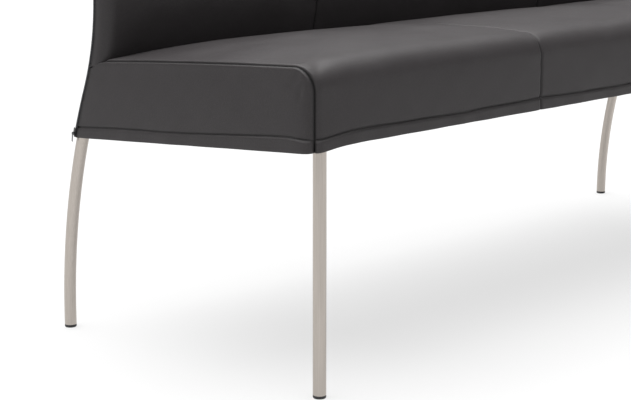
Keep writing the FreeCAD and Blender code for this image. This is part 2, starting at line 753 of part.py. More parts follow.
def zip_strip(out_from, out_to, across_from, across_to):
    """Strip along the right zip, placed from the middle of the tube."""
    solids = []
    for piece in between(TUBE_LINE, ZIP_LOW, ZIP_HIGH):
        outward, across, _ = zip_axes(piece.lean)
        middle = at(TUBE_X, *piece.start)
        corners = [(out_from, across_from), (out_to, across_from), (out_to, across_to), (out_from, across_to)]
        points = [middle + outward * out + across * side for out, side in corners]
        solids.append(piece.sweep(Part.Face(Part.makePolygon(points + points[:1]))))
    return joined(solids)


def zip_block(out_from, out_to, width, up_from, up_to):
    """Block in the slider's own directions: outward, across and up the zip."""
    return Part.makeBox(out_to - out_from, width, up_to - up_from, V(out_from, -width / 2, up_from))


def slider_placement():
    """Where the slider's directions lie on the right rear tube."""
    lean = piece_at(SLIDER_Z).lean_at(SLIDER_Z)
    outward, across, up = zip_axes(lean)
    middle = at(TUBE_X, piece_at(SLIDER_Z).depth_at(SLIDER_Z), SLIDER_Z)
    turned = FreeCAD.Matrix(outward.x, across.x, up.x, middle.x,
                            outward.y, across.y, up.y, middle.y,
                            outward.z, across.z, up.z, middle.z,
                            0, 0, 0, 1)
    return FreeCAD.Placement(turned)


PLATE_OUT = TEETH_OUT + SLIDER_PLAY
PLATE_IN = TEETH_IN - SLIDER_PLAY
PLATE_TOP = PLATE_OUT + SLIDER_PLATE
PIVOT_OUT = PLATE_TOP + PIVOT_UP


def zip_slider():
    """Two plates joined by a bridge between the rows of teeth, with an eye for the pull."""
    half = SLIDER_LENGTH / 2
    outer = zip_block(PLATE_OUT, PLATE_TOP, SLIDER_WIDTH, -half, half)
    inner = zip_block(PLATE_IN - SLIDER_PLATE, PLATE_IN, SLIDER_WIDTH, -half, half)
    bridge = zip_block(PLATE_IN, PLATE_OUT, BRIDGE_WIDTH, -half, BRIDGE_LENGTH - half)
    eye = zip_block(PLATE_TOP, PLATE_TOP + LUG_EYE_RISE, LUG_EYE_WIDTH,
                    -PIVOT_DOWN - LUG_EYE_LENGTH / 2, -PIVOT_DOWN + LUG_EYE_LENGTH / 2)
    hole = Part.makeCylinder(PIN_D / 2 + PIN_PLAY, SLIDER_WIDTH, V(PIVOT_OUT, -SLIDER_WIDTH / 2, -PIVOT_DOWN),
                             V(0, 1, 0))
    body = joined([outer, inner, bridge, eye]).cut(hole)
    body.Placement = slider_placement()
    return body


def zip_pull():
    """Flat pull with two ears and a pin, hanging straight down from the slider's eye."""
    inside = LUG_EYE_WIDTH + 2 * EAR_PLAY
    width = inside + 2 * EAR_WIDTH
    half = PULL_THICKNESS / 2
    tab = zip_block(-half, half, width, -PULL_LENGTH, half)
    tab = tab.cut(zip_block(-half, half, inside, -PULL_START, half))
    tip_edges = [e for e in tab.Edges if e.BoundBox.ZMax < half - PULL_LENGTH and e.BoundBox.XLength > half]
    tab = tab.makeFillet(width / 4, tip_edges) if tip_edges else tab
    ears = Part.makeCylinder(PULL_THICKNESS, width, V(0, -width / 2, 0), V(0, 1, 0))
    ears = ears.cut(zip_block(-width, width, inside, -width, width))
    pin = Part.makeCylinder(PIN_D / 2, width, V(0, -width / 2, 0), V(0, 1, 0))
    pull = joined([tab, ears, pin])
    lean = piece_at(SLIDER_Z).lean_at(SLIDER_Z)
    hang = degrees(atan2(sin(lean) * sin(ZIP_ANGLE), cos(lean)))
    pull.rotate(V(0, 0, 0), V(0, 1, 0), hang)
    pull.translate(V(PIVOT_OUT, 0, -PIVOT_DOWN))
    pull.Placement = slider_placement().multiply(pull.Placement)
    return pull


def zip_pieces():
    rows = [zip_strip(TEETH_IN, TEETH_OUT, TEETH_NEAR, TEETH_FAR),
            zip_strip(TEETH_IN, TEETH_OUT, -TEETH_FAR, -TEETH_NEAR)]
    tapes = [zip_strip(TAPE_IN, TAPE_OUT, TEETH_FAR, TAPE_FAR),
             zip_strip(TAPE_IN, TAPE_OUT, -TAPE_FAR, -TEETH_FAR)]
    return {"zip_teeth": rows, "zip_tapes": tapes, "zip_slider": zip_slider(), "zip_pull": zip_pull()}


def group(solids):
    return Part.makeCompound(solids)


def both_sides(name, shape):
    return {name + "_right": shape, name + "_left": mirrored(shape)}


def all_parts():
    parts = {}
    parts.update(both_sides("front_leg", front_leg()))
    parts.update(both_sides("rear_tube", rear_tube()))
    parts.update(both_sides("front_glide", glide(LEG_X, FRONT_LEG_DEPTH)))
    parts.update(both_sides("rear_glide", glide(TUBE_X, REAR_FOOT)))
    parts.update(both_sides("leg_plate", leg_plate()))
    parts.update(both_sides("rear_lug", rear_lug()))
    bolts = leg_bolts()
    parts["leg_plate_bolts"] = group(bolts + [mirrored(bolt) for bolt in bolts])
    bolts = lug_bolts()
    parts["lug_bolts"] = group(bolts + [mirrored(bolt) for bolt in bolts])
    nuts = lug_nuts()
    parts["lug_nuts"] = group(nuts + [mirrored(nut) for nut in nuts])
    cap = tube_cap()
    parts["tube_caps"] = group([cap, mirrored(cap)])
    parts.update(seat_rails())
    parts["seat_webbing"] = group(seat_webbing())
    parts["webbing_clips"] = group(webbing_clips())
    parts["dust_cover"] = dust_cover()
    parts["dust_cover_studs"] = group(dust_studs())
    frame = back_frame()
    frame["back_lumbar_rails"] = group(frame["back_lumbar_rails"])
    parts.update(frame)
    parts["back_webbing"] = group(back_webbing())
    parts["back_wadding"] = back_wadding()
    parts["seat_foam"] = seat_foam()
    parts["back_foam"] = back_foam()
    parts.update(seat_covers())
    parts.update(back_covers())
    for name, shape in zip_pieces().items():
        parts.update(both_sides(name, group(shape) if isinstance(shape, list) else shape))
    return parts


os.makedirs("parts", exist_ok=True)
for node, shape in all_parts().items():
    shape.exportStep("parts/" + node + ".step")
    print(node, len(shape.Solids), "solids", shape.isValid(), round(shape.Volume))
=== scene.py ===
import bpy
import bmesh
import numpy as np
from math import atan2, cos, hypot, pi, radians, sin, tan
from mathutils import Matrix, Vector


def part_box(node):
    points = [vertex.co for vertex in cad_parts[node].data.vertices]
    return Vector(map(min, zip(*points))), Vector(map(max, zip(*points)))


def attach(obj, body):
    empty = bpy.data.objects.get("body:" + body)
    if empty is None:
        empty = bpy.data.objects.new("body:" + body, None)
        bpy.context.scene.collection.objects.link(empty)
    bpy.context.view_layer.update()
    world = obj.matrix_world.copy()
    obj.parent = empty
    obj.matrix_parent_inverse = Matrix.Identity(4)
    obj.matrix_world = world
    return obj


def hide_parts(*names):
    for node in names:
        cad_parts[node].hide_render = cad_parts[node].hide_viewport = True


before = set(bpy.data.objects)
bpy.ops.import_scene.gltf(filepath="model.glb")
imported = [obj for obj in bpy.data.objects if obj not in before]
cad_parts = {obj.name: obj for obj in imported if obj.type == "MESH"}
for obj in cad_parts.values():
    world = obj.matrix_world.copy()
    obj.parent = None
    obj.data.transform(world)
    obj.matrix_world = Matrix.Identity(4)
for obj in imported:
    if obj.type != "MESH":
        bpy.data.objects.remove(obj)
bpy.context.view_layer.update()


# Legs and rear tubes: round stainless steel tube, brushed along its length, so that fine streaks
# run up the tube and its shine is broad and soft. A rear tube is leg and back post in one and
# runs on inside the back.
def colour(hex_code):
    """Linear light of a colour that is written as an sRGB hex value."""
    parts = [int(hex_code[i:i + 2], 16) / 255 for i in (1, 3, 5)]
    return [p / 12.92 if p <= 0.04045 else ((p + 0.055) / 1.055) ** 2.4 for p in parts] + [1.0]


def node(material, kind, settings=None, **inputs):
    """Shader node with its settings and inputs, where _2 stands for input number 2."""
    made = material.node_tree.nodes.new("ShaderNode" + kind)
    for name, value in (settings or {}).items():
        setattr(made, name, value)
    for name, value in inputs.items():
        socket = made.inputs[int(name[1:]) if name[1:].isdigit() else name.replace("_", " ")]
        if isinstance(value, bpy.types.NodeSocket):
            material.node_tree.links.new(value, socket)
        else:
            socket.default_value = value
    return made


def finish(name, light, dark, cell, roughness, metallic=0.0, relief=0.02, stretch=(1, 1, 1), detail=4.0):
    """Surface whose colour and height vary with a pattern. Its cell and relief are millimetres."""
    material = bpy.data.materials.new(name)
    material.use_nodes = True
    shader = material.node_tree.nodes["Principled BSDF"]
    place = node(material, "TexCoord").outputs["Object"]
    scaled = node(material, "Mapping", Vector=place, Scale=stretch).outputs[0]
    pattern = node(material, "TexNoise", Vector=scaled, Scale=1000.0 / cell, Detail=detail).outputs[0]
    mixed = node(material, "Mix", {"data_type": "RGBA"}, _0=pattern, _6=colour(dark), _7=colour(light))
    bump = node(material, "Bump", Height=pattern, Strength=0.5, Distance=relief / 1000.0)
    links = material.node_tree.links
    links.new(mixed.outputs[2], shader.inputs["Base Color"])
    links.new(bump.outputs[0], shader.inputs["Normal"])
    shader.inputs["Roughness"].default_value = roughness
    shader.inputs["Metallic"].default_value = metallic
    return material


def dress(material, *names):
    for name in names:
        mesh = bpy.data.objects[name].data
        mesh.materials.clear()
        mesh.materials.append(material)


def pair(name):
    return [name + "_left", name + "_right"]


brushed = finish("brushed_stainless_look", "#c8c0b9", "#a9a29a", 1.2, 0.34, 1.0, 0.012, (1, 1, 0.012), 6.0)
dress(brushed, *pair("front_leg"), *pair("rear_tube"))


# Glides and tube caps: black moulded plastic with a fine matt grain. The glides are pushed into
# the feet, the caps into the tops of the rear tubes.
plastic = finish("black_plastic_look", "#3a3a3b", "#2c2c2d", 0.6, 0.55, relief=0.03)
dress(plastic, *pair("front_glide"), *pair("rear_glide"), "tube_caps")


# Frame inside: box rails, struts, plates and lugs of welded steel, painted a dull black, with
# bolts, nuts, strap clips and studs of steel that zinc plating makes a cool, even grey.
painted = finish("painted_steel_look", "#2e2e30", "#26262a", 2.0, 0.5, relief=0.05)
dress(painted, "seat_front_rail", "seat_rear_rail", *pair("seat_end_rail"), *pair("seat_cross_rail"),
      "back_top_rail", "back_lumbar_rails", *pair("back_strut"), *pair("leg_plate"), *pair("rear_lug"))
zinc = finish("zinc_steel_look", "#a9abad", "#8f9194", 3.0, 0.4, 1.0)
dress(zinc, "leg_plate_bolts", "lug_bolts", "lug_nuts", "webbing_clips", "dust_cover_studs")


# Webbing: straps of elastic, clipped across the seat frame and the back frame. The weave is black
# with ribs of about two millimetres across the strap.
webbing = finish("elastic_webbing_look", "#4a4743", "#25231f", 1.6, 0.85, relief=0.3, stretch=(1, 0.3, 1))
dress(webbing, "seat_webbing", "back_webbing")


# Seat cover: three panels of leather sewn together, drawn over the front edge and down to a hem.
# In side view it is a front face, a rounded front edge and a low crown that falls to the back.
# Sizes are millimetres: distance in from the end, depth from the front face, and height.
HALF = 800.0
DEPTH_TO_MIDDLE = 297.0
SEAT_SEAM = 535.0
SIDE_SEAM = 12.0
LEATHER_THICKNESS = 1.6
SEAM_ALLOWANCE = 7.0
SEAM_LAP = 0.8
HEM = 19.0
HEM_LEVEL = 375.5
HEM_FALL = 0.0827
CORNER_SAG = 5.0
FRONT_EDGE_R = 35.0
FRONT_EDGE_Z = 467.5
CORNER_R = 25.0
TOP_EDGE_R = 8.0
SEAM_SHIFT = 9.0
SEAM_SHIFT_REACH = 28.0
SEAT_RISE = radians(3.0)
SEAT_BACK_DEPTH = 457.0
SEAT_BACK_Z = 474.5
END_REACH = 220.0
END_DROP = 10.0
END_FLATNESS = 0.98
SEAM_DROP = 2.5
SEAM_DROP_REACH = 60.0
SEAT_COVER_RUN = 600.0
CREASES = ((34.0, 128.0, 0.5, 1.7), (52.0, 138.0, 0.4, 1.3))


def leather_look():
    """Anthracite leather, semi-matt: a pebbled grain of 1.5 mm, fine pores and faint clouding.

    A per-point attribute mixes in painted shade, near black, along the seams, the hem and the zip edges,
    where the leather dips into shadow.
    """
    material = bpy.data.materials.new("anthracite_leather_look")
    material.use_nodes = True
    links = material.node_tree.links
    shader = material.node_tree.nodes["Principled BSDF"]
    place = node(material, "TexCoord").outputs["Object"]
    bent = node(material, "TexNoise", Vector=place, Scale=400.0, Detail=2.0)
    moved = node(material, "Mix", {"data_type": "VECTOR"}, _0=0.0012, _4=place, _5=bent.outputs["Color"])
    cells = node(material, "TexVoronoi", {"feature": "SMOOTH_F1"}, Vector=moved.outputs[1], Scale=640.0)
    pores = node(material, "TexNoise", Vector=place, Scale=2600.0, Detail=3.0)
    cloud = node(material, "TexNoise", Vector=place, Scale=11.0, Detail=5.0)
    tint = node(material, "Mix", {"data_type": "RGBA"}, _0=cloud.outputs[0],
                _6=colour("#3a3738"), _7=colour("#454243"))
    worn = node(material, "Mix", {"data_type": "RGBA", "blend_type": "MULTIPLY"}, _0=0.25,
                _6=tint.outputs[2], _7=cells.outputs["Distance"])
    gloss = node(material, "MapRange", Value=cloud.outputs[0], From_Min=0.3, From_Max=0.7,
                 To_Min=0.46, To_Max=0.55)
    grain = node(material, "Math", {"operation": "MULTIPLY_ADD"}, _0=pores.outputs[0], _1=0.35,
                 _2=cells.outputs["Distance"])
    bump = node(material, "Bump", Height=grain.outputs[0], Strength=0.6, Distance=0.0003)
    seam_shade_mask = node(material, "Attribute", {"attribute_name": "seam_shade"})
    # Painted shade: near-black colour mixed in by the per-point seam mask, standing in for the shadow in
    # the stitched grooves.
    shade = node(material, "Mix", {"data_type": "RGBA"}, _0=seam_shade_mask.outputs["Fac"], _6=worn.outputs[2],
                 _7=colour("#080707"))
    links.new(shade.outputs[2], shader.inputs["Base Color"])
    links.new(gloss.outputs[0], shader.inputs["Roughness"])
    links.new(bump.outputs[0], shader.inputs["Normal"])
    shader.inputs["Specular IOR Level"].default_value = 0.28
    return material


leather = leather_look()


def spaced(start, end, fine_at, fine, coarse):
    """Values from start to end that lie closer together near some places."""
    values = [start]
    while values[-1] < end:
        near = min(abs(values[-1] - place) for place in fine_at)
        values.append(values[-1] + min(coarse, fine + 0.22 * near))
    values[-1] = end
    return np.array(values)


def resampled(line, places):
    """Points of a line at shares of its length."""
    line = np.asarray(line, float)
    run = np.concatenate([[0.0], np.cumsum(np.linalg.norm(np.diff(line, axis=0), axis=1))])
    return np.stack([np.interp(np.asarray(places) * run[-1], run, column) for column in line.T], 1)


def rounded(radius, distance):
    """How far a rounded edge has drawn in at a distance from the end."""
    reach = np.maximum(radius - distance, 0.0)
    return radius - np.sqrt(np.maximum(radius ** 2 - reach ** 2, 0.0))


def bell(value, width):
    return np.exp(-(value / width) ** 2)


def ramp(value):
    return np.clip(value, 0.0, 1.0)


def waves(a, b, seed):
    """Soft irregular waves between -1 and 1 over a surface, the same in each run."""
    lengths = ((310, 170), (190, -130), (120, 90), (77, -61), (53, 140), (41, 37))
    shift = np.random.default_rng(seed).uniform(0, 2 * pi, len(lengths))
    total = 0.0
    for k, (along, across) in enumerate(lengths):
        total = total + np.sin(2 * pi * (a / along + b / across) + shift[k]) / (k + 2)
    return total / 1.3


def normals_of(points):
    along = np.gradient(points, axis=0)
    across = np.gradient(points, axis=1)
    out = np.cross(along, across)
    return out / np.maximum(np.linalg.norm(out, axis=2, keepdims=True), 1e-9)


def turned_in(points, sides, out):
    """The same grid with its sewn edges turned in by the seam allowance."""
    def fold(edge, before, inward):
        way = edge - before
        way = way / np.maximum(np.linalg.norm(way, axis=-1, keepdims=True), 1e-6) * SEAM_LAP
        return np.stack([edge + way, edge + inward + way])

    inward = -SEAM_ALLOWANCE * (normals_of(points) if out is None else out)
    if "last" in sides:
        points = np.concatenate([points, fold(points[-1], points[-2], inward[-1])])
        inward = np.concatenate([inward, inward[-1:], inward[-1:]])
    if "first" in sides:
        points = np.concatenate([fold(points[0], points[1], inward[0])[::-1], points])
        inward = np.concatenate([inward[:1], inward[:1], inward])
    if "top" in sides:
        flap = fold(points[:, -1], points[:, -2], inward[:, -1])
        points = np.concatenate([points, flap.transpose(1, 0, 2)], 1)
    return points


def skin(name, points, material, sides=(), thickness=LEATHER_THICKNESS, smooth=1, seam_shade=None, out=None):
    """Sheet piece from a grid of points in millimetres, with its thickness on the inner side."""
    if seam_shade is not None:
        grow = (("first" in sides, "last" in sides), (False, "top" in sides))
        seam_shade = np.pad(seam_shade, [[2 * int(k) for k in ends] for ends in grow], mode="edge")
    points = turned_in(points, sides, out)
    rows, columns = points.shape[:2]
    placed = points.reshape(-1, 3) - np.array([0.0, DEPTH_TO_MIDDLE, 0.0])
    faces = []
    for i in range(rows - 1):
        for j in range(columns - 1):
            first = i * columns + j
            faces.append((first, first + columns, first + columns + 1, first + 1))
    mesh = bpy.data.meshes.new(name)
    mesh.from_pydata([tuple(p) for p in placed / 1000.0], [], faces)
    mesh.shade_smooth()
    # The seam mask is stored on the mesh as painted shade for the leather's colour, darkest in the
    # stitched grooves.
    if seam_shade is not None:
        seam_shade_layer = mesh.attributes.new("seam_shade", "FLOAT", "POINT")
        seam_shade_layer.data.foreach_set("value", seam_shade.ravel().astype(np.float32))
    piece = bpy.data.objects.new(name, mesh)
    bpy.context.scene.collection.objects.link(piece)
    if material:
        mesh.materials.append(material)
    if thickness:
        solid = piece.modifiers.new("thickness", "SOLIDIFY")
        solid.thickness = thickness / 1000.0
        solid.offset = -1.0
    if smooth:
        fine = piece.modifiers.new("smooth", "SUBSURF")
        fine.levels = fine.render_levels = smooth
    return piece


def regrid(values, axis, old, new):
    return np.apply_along_axis(lambda line: np.interp(new, old, line), axis, values)


def swell(points, most):
    """How the padding blows a panel out between its sewn edges, worked out as cloth.

    The cloth is a coarse grid of about 14 mm, and its shift is laid over the fine one.
    """
    shares = []
    for axis in (0, 1):
        steps = np.linalg.norm(np.diff(points, axis=axis), axis=2).mean(axis=1 - axis)
        run = np.concatenate([[0.0], np.cumsum(steps)])
        count = int(np.clip(run[-1] / 14.0, 6, 48))
        shares.append((run / run[-1], np.linspace(0.0, 1.0, count)))
    (old_a, new_a), (old_b, new_b) = shares
    coarse = regrid(regrid(points, 0, old_a, new_a), 1, old_b, new_b)
    piece = skin("swelling", coarse, None, thickness=0.0, smooth=0)
    rows, columns = coarse.shape[:2]
    edge = [i * columns + j for i in range(rows) for j in range(columns)
            if i in (0, rows - 1) or j in (0, columns - 1)]
    piece.vertex_groups.new(name="seam_shade_mask").add(edge, 1.0, "REPLACE")
    cloth = piece.modifiers.new("cloth", "CLOTH")
    cloth.settings.quality = 6
    cloth.settings.vertex_group_mass = "seam_shade_mask"
    cloth.settings.use_pressure = True
    cloth.settings.uniform_pressure_force = 4.0
    cloth.settings.effector_weights.gravity = 0.0
    last_frame = 20
    cloth.point_cache.frame_end = last_frame
    for step in range(1, last_frame + 1):
        bpy.context.scene.frame_set(step)
    settled = piece.evaluated_get(bpy.context.evaluated_depsgraph_get()).data
    after = np.empty(rows * columns * 3, np.float32)
    settled.vertices.foreach_get("co", after)
    after = after.reshape(rows, columns, 3) * 1000.0 + [0.0, DEPTH_TO_MIDDLE, 0.0]
    bpy.context.scene.frame_set(1)
    mesh = piece.data
    bpy.data.objects.remove(piece)
    bpy.data.meshes.remove(mesh)
    shift = after - coarse
    shift *= most / max(np.linalg.norm(shift, axis=2).max(), most)
    return regrid(regrid(shift, 0, new_a, old_a), 1, new_b, old_b)


def seat_line(distance):
    """Seat outline near an end, from the hem to under the back: distance in, depth and height.

    The end's edge is well rounded at the front corner and tighter along the top, so the seam
    runs further out along the top.
    """
    turn = np.linspace(0.0, 1.0, 24)
    ease = turn * turn * (3 - 2 * turn)
    out = SEAM_SHIFT * max(1 - (distance - SIDE_SEAM) / SEAM_SHIFT_REACH, 0.0)
    front_inset = float(rounded(CORNER_R, distance))
    top_inset = float(rounded(TOP_EDGE_R, distance - out))
    near_end = max(1 - distance / END_REACH, 0.0) ** 2
    near_seam = max(1 - abs(distance - SEAT_SEAM) / SEAM_DROP_REACH, 0.0) ** 2
    drop = END_DROP * near_end + SEAM_DROP * near_seam
    angle = pi / 2 - (pi / 2 - SEAT_RISE) * turn
    edge = np.stack([distance - out * ease,
                     FRONT_EDGE_R - (FRONT_EDGE_R - front_inset) * np.sin(angle),
                     FRONT_EDGE_Z - drop + (FRONT_EDGE_R - top_inset) * np.cos(angle)], 1)
    sag = CORNER_SAG * float(bell(distance - 14.0, 45.0))
    low = [distance, front_inset, HEM_LEVEL - HEM_FALL * front_inset - sag]
    start = edge[-1]
    end = np.array([distance - out, SEAT_BACK_DEPTH, SEAT_BACK_Z - top_inset - drop])
    chord = end - start
    bow = SEAT_RISE - atan2(chord[2], chord[1])
    level = 1 - END_FLATNESS * near_end
    lift = np.array([0.0, -chord[2], chord[1]]) * tan(bow / 2) / 2 * level
    share = np.linspace(0.0, 1.0, 80)[1:, None]
    top = start + chord * share + lift * 4 * share * (1 - share)
    tuck = [end + [0.0, 6.0, -7.0], end + [0.0, 9.0, -22.0]]
    return np.concatenate([[low], edge, top, tuck])


def hem_relief(up, hem):
    """Stitched line at the hem, and the doubled leather below it."""
    return 1.2 * ramp((hem - up) / 4.0) - 2.2 * bell(up - hem, 1.7)


def seat_relief(distance, x, up):
    """Height added to the seat cover: hem line, seams, creases and soft waves."""
    hem = HEM + 1.2 * np.sin(x / 61.0) + 0.6 * np.sin(x / 23.0)
    from_seam = distance - SEAT_SEAM
    relief = 0.5 * waves(x, up, 3) + hem_relief(up, hem)
    relief += 0.6 * np.sin(x / 13.0 + np.sin(x / 37.0)) * ramp(1 - up / 30.0)
    relief -= 3.0 * bell(from_seam, 2.4)
    relief += 0.5 * np.sin(up / 4.4) * np.exp(-np.abs(from_seam) / 14.0)
    relief -= 2.4 * bell(distance - SIDE_SEAM, 1.6)
    for along, height, slope, depth in CREASES:
        across = (distance - along) * slope - (up - height) * (1 - slope)
        reach = bell(distance - along, 16.0) * bell(up - height, 20.0)
        relief -= depth * bell(across, 5.0) * reach
    return relief


def seat_panel(name, x_from, x_to):
    seams = (-HALF + SIDE_SEAM, -HALF + SEAT_SEAM, HALF - SEAT_SEAM, HALF - SIDE_SEAM)
    stations = spaced(x_from, x_to, seams, 0.6, 9.0)
    ups = spaced(0.0, SEAT_COVER_RUN, (HEM,), 0.8, 7.5) / SEAT_COVER_RUN
    lines = []
    for x in stations:
        line = resampled(seat_line(HALF - abs(x)), ups)
        line[:, 0] = np.sign(x) * (HALF - line[:, 0])
        lines.append(line)
    points = np.array(lines)
    distance = np.repeat(HALF - np.abs(stations)[:, None], len(ups), 1)
    steps = np.linalg.norm(np.diff(points, axis=1), axis=2)
    runs = np.concatenate([np.zeros((len(stations), 1)), np.cumsum(steps, axis=1)], 1)
    relief = seat_relief(distance, points[:, :, 0], runs)
    points = points + swell(points, 2.5) + normals_of(points) * relief[:, :, None]
    # Painted shade: the colour darkens along the seat seams, the side seam and the hem line, where their
    # grooves fall into shadow.
    seam_shade = np.maximum(0.55 * bell(distance - SEAT_SEAM, 1.6), bell(distance - SIDE_SEAM, 1.25))
    seam_shade = np.maximum(seam_shade, 0.5 * bell(runs - HEM, 2.4))
    return skin(name, points, leather, ("first", "last"), seam_shade=seam_shade)


for name, x_from, x_to in (("seat_cover_left", -HALF + SIDE_SEAM, -HALF + SEAT_SEAM),
                           ("seat_cover_middle", -HALF + SEAT_SEAM, HALF - SEAT_SEAM),
                           ("seat_cover_right", HALF - SEAT_SEAM, HALF - SIDE_SEAM)):
    panel = seat_panel(name + "_leather", x_from, x_to)
    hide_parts(name)
    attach(panel, "bench")


# Seat side panels: flat leather at each end of the seat, from the hem up to the seam on the
# rounded edge, and back to the zip, which follows the rear tube. Seen from the side, the tube is
# a short straight foot, two bends and a straight. Near the back the panel lies flush with the end.
REAR_FOOT = 584.0
FOOT_RUN = 16.0
TUBE_BENDS = ((1030.0, radians(22.6)), (410.0, radians(-10.0)))
TUBE_LINE_TOP = 1000.0
ZIP_EDGE = 0.8
REAR_HEM_LEVEL = 331.5
ZIP_JOIN = (1.5, 451.0)
SIDE_LENGTH = 540.0
SIDE_HEIGHT = 118.0
CORNER_POINTS = 13
SIDE_CREASES = ((28.0, 474.0, 0.55), (40.0, 466.0, 0.9), (22.0, 455.0, 0.3))


def tube_line():
    """Rear tube's middle line as rows of depth, height and lean."""
    depth, height, lean = REAR_FOOT, FOOT_RUN, 0.0
    rows = [(depth, 0.0, 0.0), (depth, height, 0.0)]
    count = 160
    for radius, end in TUBE_BENDS:
        turn = (end - lean) / count
        step = radius * abs(turn)
        for _ in range(count):
            lean += turn / 2
            depth -= step * sin(lean)
            height += step * cos(lean)
            lean += turn / 2
            rows.append((depth, height, lean))
    rest = TUBE_LINE_TOP - height
    rows.append((depth - rest * tan(lean), TUBE_LINE_TOP, lean))
    return np.array(rows)


TUBE = tube_line()


def tube_side(offset, height):
    """Depth at a height of the tube's line moved back by an offset."""
    depths = TUBE[:, 0] + offset * np.cos(TUBE[:, 2])
    heights = TUBE[:, 1] + offset * np.sin(TUBE[:, 2])
    return np.interp(height, heights, depths)


def side_grid(edge):
    """Side view of the panel as a grid between its sewn edge, its hem and the zip."""
    front_edge, top_edge = edge[:CORNER_POINTS], edge[CORNER_POINTS - 1:]
    rear_heights = np.linspace(REAR_HEM_LEVEL, ZIP_JOIN[1], 60)
    rear_edge = np.stack([np.zeros(60), tube_side(ZIP_EDGE, rear_heights), rear_heights], 1)
    along = spaced(0.0, SIDE_LENGTH, (0.0,), 0.8, 8.0) / SIDE_LENGTH
    ups = spaced(0.0, SIDE_HEIGHT, (HEM, SIDE_HEIGHT), 0.8, 5.0) / SIDE_HEIGHT
    low = resampled([edge[0], rear_edge[0]], along)[:, None, :]
    high = resampled(top_edge, along)[:, None, :]
    front = resampled(front_edge, ups)[None, :, :]
    rear = resampled(rear_edge, ups)[None, :, :]
    s = along[:, None, None]
    t = ups[None, :, None]
    corners = ((1 - s) * (1 - t) * edge[0] + s * (1 - t) * rear_edge[0]
               + (1 - s) * t * front_edge[-1] + s * t * edge[-1])
    return ((1 - t) * low + t * high + (1 - s) * front + s * rear - corners)[:, :, 1:]


def side_relief(depth, height, up, hem):
    """Height added to the side panel: hem line, soft waves and creases at the front corner."""
    relief = 0.6 * waves(depth, height, 11) + hem_relief(up, hem)
    relief += 0.5 * np.sin(depth / 15.0) * ramp(1 - up / 30.0)
    for at_depth, at_height, slant in SIDE_CREASES:
        across = (depth - at_depth) + (height - at_height) * slant
        reach = bell(height - at_height, 16.0) * bell(depth - at_depth, 14.0)
        relief -= 2.3 * bell(across, 3.2) * reach
    return relief


def side_panel(name, hand):
    outline = seat_line(SIDE_SEAM)[:-2]
    join = np.array([ZIP_JOIN[0], tube_side(ZIP_EDGE, ZIP_JOIN[1]), ZIP_JOIN[1]])
    bend = (outline[-1] + join) / 2 + [0.0, 2.0, 2.5]
    edge = np.concatenate([outline, [bend, join]])
    flat = side_grid(edge)
    line = resampled(edge, np.linspace(0.0, 1.0, 900))
    way = np.gradient(line[:, 1:], axis=0)
    aside = np.stack([-way[:, 1], way[:, 0]], 1) / np.linalg.norm(way, axis=1)[:, None]
    spans = np.linalg.norm(flat[:, :, None, :] - line[None, None, :, 1:], axis=3)
    nearest = spans.argmin(axis=2)
    gaps = spans.min(axis=2)
    seam_in = line[nearest, 0]
    inward = seam_in * np.exp(-gaps / (1.2 + 0.28 * seam_in))
    slope = 1.64 * np.exp(-gaps / 4.5)
    out = np.concatenate([np.full(gaps.shape + (1,), hand), slope[:, :, None] * aside[nearest]], 2)
    out /= np.linalg.norm(out, axis=2, keepdims=True)
    depth, height = flat[:, :, 0], flat[:, :, 1]
    up = height - (HEM_LEVEL - HEM_FALL * depth) + CORNER_SAG * bell(depth - 3.0, 30.0)
    hem = 17.5 + 1.5 * bell(depth, 60.0) + np.sin(depth / 57.0)
    relief = side_relief(depth, height, up, hem) * ramp(gaps / 6.0) - 2.4 * bell(gaps, 1.6)
    points = np.concatenate([hand * (HALF - inward)[:, :, None], flat], 2)
    points = points + out * relief[:, :, None]
    # Painted shade along the sewn edge, the hem line and the zip edge, where the leather lies in shadow.
    seam_shade = np.maximum(bell(gaps, 1.25), 0.5 * bell(up - hem, 2.0))
    seam_shade = np.maximum(seam_shade, 0.8 * bell(tube_side(ZIP_EDGE, height) - depth, 3.0))
    sides = ("first", "top")
    if hand < 0:
        points, seam_shade, out = points[::-1], seam_shade[::-1], out[::-1]
        sides = ("last", "top")
    points = points + swell(points, 2.0)
    return skin(name, points, leather, sides, seam_shade=seam_shade, out=out)


for name, hand in (("seat_side_left", -1.0), ("seat_side_right", 1.0)):
    panel = side_panel(name + "_leather", hand)
    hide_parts(name)
    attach(panel, "bench")


# Back cover: three leather panels over the front, the ends and half of the top, sewn to a rear
# panel. The front leans with the tubes, is thin at the edge, and tucks in behind the seat.
BACK_SEAM = 469.0
BACK_TOP = 880.0
BACK_FRONT = 30.0
BACK_REAR = 15.0
BACK_EDGE_R = 22.0
BACK_TOP_R = 20.0
BACK_LOW = 440.0
PILLOW = 4.0
BACK_UPS = np.concatenate([np.linspace(0.0, 0.86, 60), np.linspace(0.87, 1.0, 22)])


def back_row(x, front, rear, top, low):
    """Row of the back's front panel at x, from its lower edge up and over to the zip's edge."""
    radius = BACK_TOP_R * (rear - front) / (BACK_FRONT + BACK_REAR)
    heights = np.linspace(low, top - radius, 70)
    face = np.stack([tube_side(front, heights), heights], 1)
    turn = np.linspace(0.0, pi / 2, 12)[1:]
    up = top - radius + radius * np.sin(turn)
    over = np.stack([tube_side(front, up) + radius * (1 - np.cos(turn)), up], 1)
    last = max(tube_side(ZIP_EDGE, top), over[-1, 0] + 0.2)
    line = np.concatenate([face, over, [[(over[-1, 0] + last) / 2, top], [last, top]]])
    return np.column_stack([np.full(len(BACK_UPS), x), resampled(line, BACK_UPS)])


def back_rear(distance):
    """How far behind the tube's line the back reaches at a distance from the end."""
    return BACK_REAR - float(rounded(BACK_REAR, distance))


